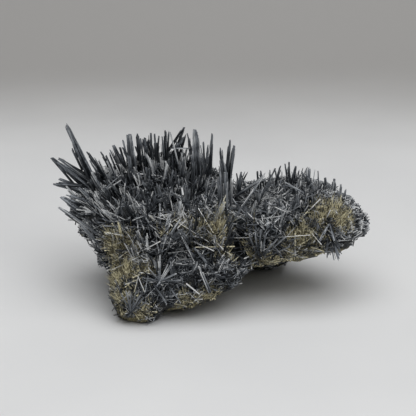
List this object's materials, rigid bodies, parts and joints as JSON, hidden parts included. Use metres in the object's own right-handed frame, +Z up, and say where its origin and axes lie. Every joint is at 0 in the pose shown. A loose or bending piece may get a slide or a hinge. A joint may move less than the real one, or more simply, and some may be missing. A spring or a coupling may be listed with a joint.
{
  "type": "stibnite crystal spray",
  "caption": "Free-standing mineral piece: metallic grey bladed stibnite crystals radiating from a crusted two-lobed matrix, with a tall crown over one foot and a raised ledge beside it.",
  "frame": {"origin": "on the floor, below the middle of the bounding box", "axes": "+X to the right along the longest extent, towards the raised ledge; -Y to the front; +Z up, away from the floor"},
  "size_m": [0.1576, 0.1044, 0.0885],
  "materials": {
    "stibnite": "metallic lead-grey blades with dull ochre crust between them"
  },
  "bodies": {
    "root": {"stibnite_spray": "stibnite"}
  },
  "joints": []
}
